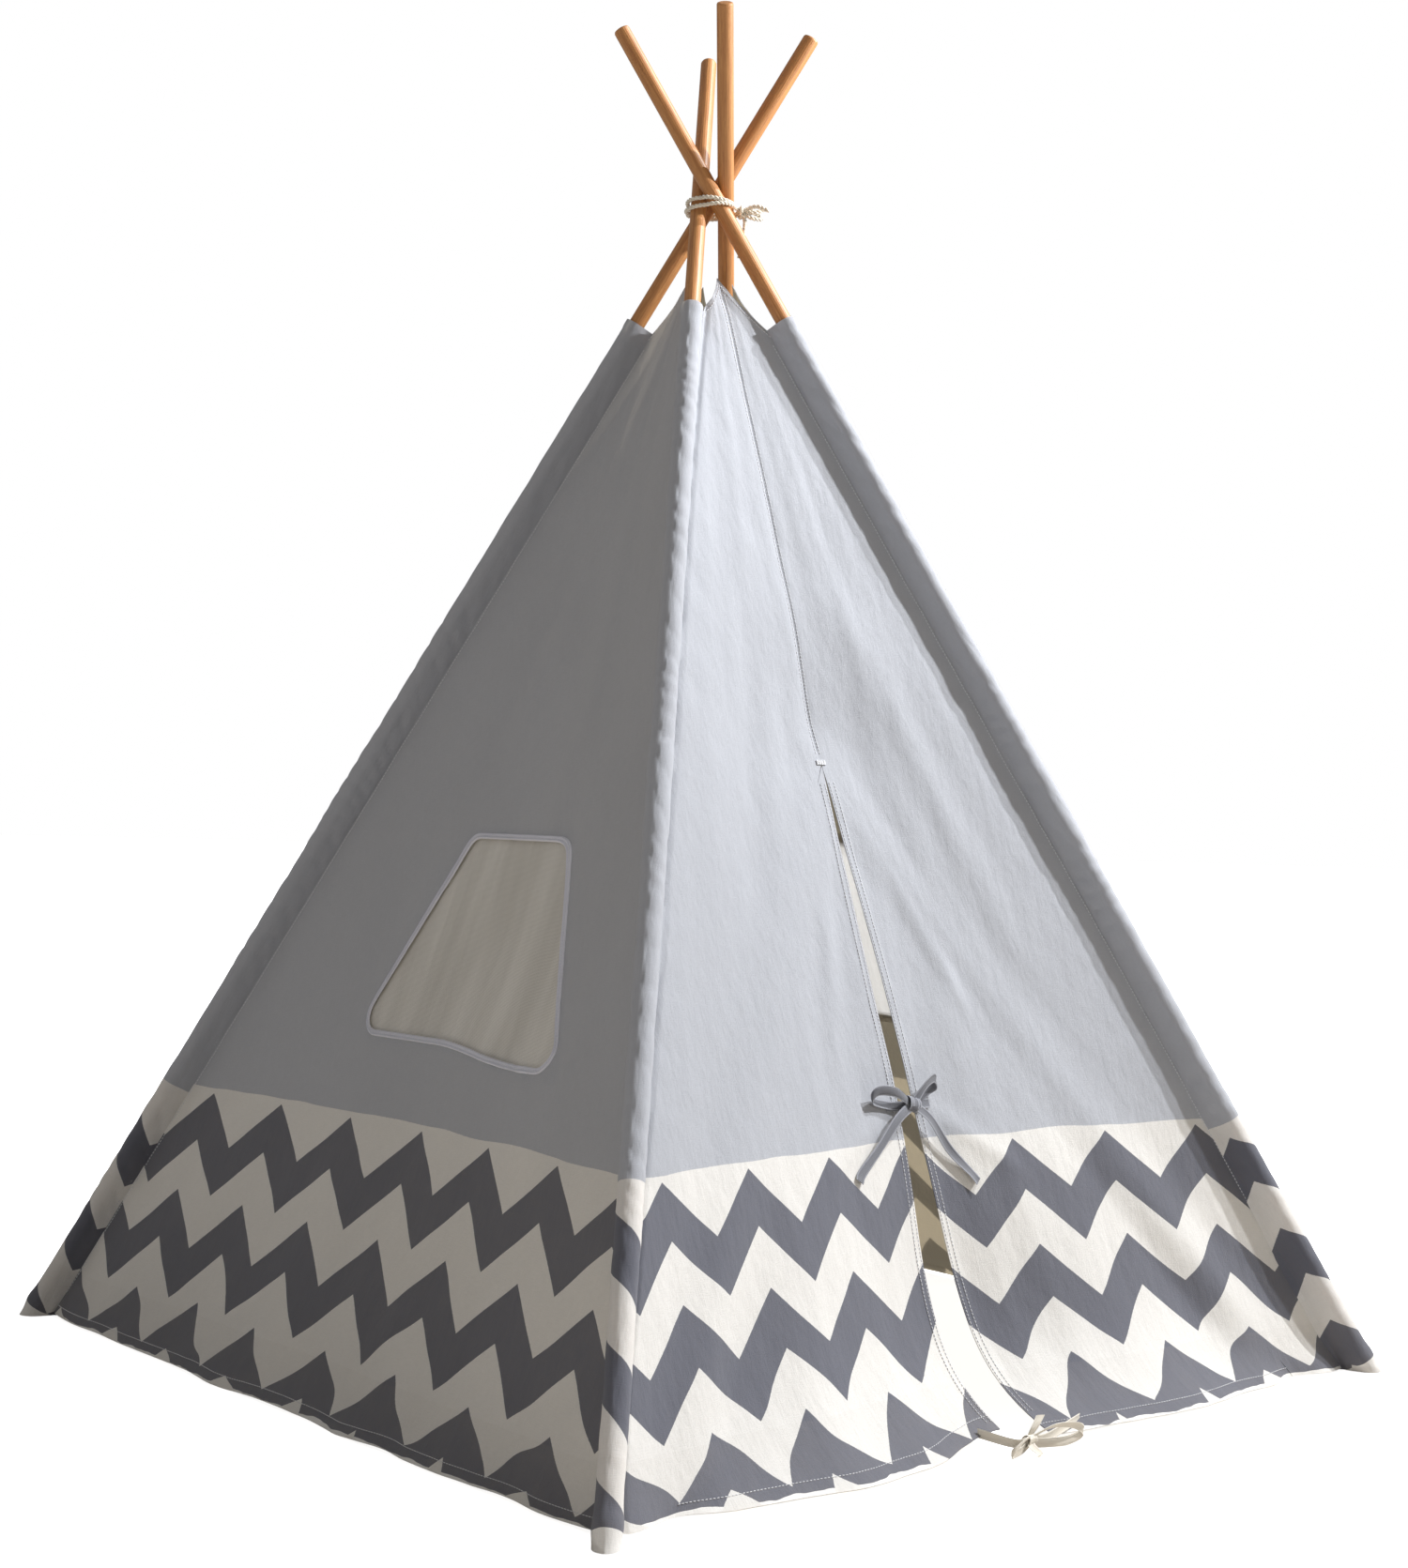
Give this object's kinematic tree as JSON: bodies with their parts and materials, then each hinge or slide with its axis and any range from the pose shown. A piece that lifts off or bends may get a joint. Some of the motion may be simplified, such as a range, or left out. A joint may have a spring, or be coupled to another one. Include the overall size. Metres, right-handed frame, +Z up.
{
  "type": "teepee play tent",
  "caption": "Child's square teepee tent: wooden poles lashed at the top in cloth sleeves, canvas walls with a banded chevron print, a tied slit door and two net windows.",
  "frame": {"origin": "centre of the base on the floor", "axes": "+Z up; the slit door faces -Y and the windows face -X and +X"},
  "size_m": [1.1794, 1.1794, 1.6014],
  "materials": {
    "pole_wood": "lacquered pine, semi-gloss",
    "ferrule_metal": "plain drawn tube",
    "sleeve_canvas": "matte plain-weave canvas, cool grey above a cream and charcoal chevron band",
    "canvas": "matte plain-weave canvas, cool grey above a cream and charcoal chevron band",
    "window_net": "fine beige-grey voile",
    "window_binding": "folded lavender-grey edging",
    "cord": "off-white twisted cord",
    "door_tape": "grey woven tape with pale stitched edges",
    "threshold_tape": "cream woven tape"
  },
  "bodies": {
    "lashing": {"lashing_cord": "cord", "lashing_knot": "cord"},
    "front_left_pole": {"front_left_pole_lower": "pole_wood", "front_left_pole_upper": "pole_wood", "front_left_ferrule": "ferrule_metal", "front_left_sleeve": "sleeve_canvas", "door_panel_left": "canvas"},
    "front_right_pole": {"front_right_pole_lower": "pole_wood", "front_right_pole_upper": "pole_wood", "front_right_ferrule": "ferrule_metal", "front_right_sleeve": "sleeve_canvas", "door_panel_right": "canvas"},
    "back_right_pole": {"back_right_pole_lower": "pole_wood", "back_right_pole_upper": "pole_wood", "back_right_ferrule": "ferrule_metal", "back_right_sleeve": "sleeve_canvas", "right_panel": "canvas", "right_window_mesh": "window_net", "right_window_binding": "window_binding"},
    "back_left_pole": {"back_left_pole_lower": "pole_wood", "back_left_pole_upper": "pole_wood", "back_left_ferrule": "ferrule_metal", "back_left_sleeve": "sleeve_canvas", "back_panel": "canvas", "left_panel": "canvas", "left_window_mesh": "window_net", "left_window_binding": "window_binding"},
    "left_flap": {"door_flap_left": "canvas", "door_tie_left": "door_tape", "threshold_tie_left": "threshold_tape"},
    "right_flap": {"door_flap_right": "canvas", "door_tie_right": "door_tape", "threshold_tie_right": "threshold_tape"}
  },
  "joints": [
    {"name": "fold_front_left", "type": "hinge", "parent": "lashing", "child": "front_left_pole", "pos_m": [-0.01131, 0.01131, 1.398], "axis": [-0.7071, 0.7071, 0], "range_deg": [-25.2, 0], "deforming": ["door_panel_left", "door_panel_right", "right_panel", "right_window_mesh", "right_window_binding", "back_panel", "left_panel", "left_window_mesh", "left_window_binding", "door_flap_left", "door_flap_right", "door_tie_left", "door_tie_right", "threshold_tie_left", "threshold_tie_right"]},
    {"name": "fold_front_right", "type": "hinge", "parent": "lashing", "child": "front_right_pole", "pos_m": [-0.01131, -0.01131, 1.398], "axis": [-0.7071, -0.7071, 0], "range_deg": [-25.2, 0]},
    {"name": "fold_back_right", "type": "hinge", "parent": "lashing", "child": "back_right_pole", "pos_m": [0.01131, -0.01131, 1.398], "axis": [0.7071, -0.7071, 0], "range_deg": [-25.2, 0]},
    {"name": "fold_back_left", "type": "hinge", "parent": "lashing", "child": "back_left_pole", "pos_m": [0.01131, 0.01131, 1.398], "axis": [0.7071, 0.7071, 0], "range_deg": [-25.2, 0]},
    {"name": "open_left_flap", "type": "hinge", "parent": "front_left_pole", "child": "left_flap", "pos_m": [-0.00567, -0.2225, 0.7], "axis": [-0.5173, -0.3561, -0.7782], "range_deg": [0, 130]},
    {"name": "open_right_flap", "type": "hinge", "parent": "front_right_pole", "child": "right_flap", "pos_m": [-0.00567, -0.2225, 0.7], "axis": [-0.5264, 0.3538, 0.7731], "range_deg": [0, 130]}
  ],
  "couplings": [
    {"joint": "fold_front_right", "follows": "fold_front_left", "ratio": 1},
    {"joint": "fold_back_right", "follows": "fold_front_left", "ratio": 1},
    {"joint": "fold_back_left", "follows": "fold_front_left", "ratio": 1}
  ]
}
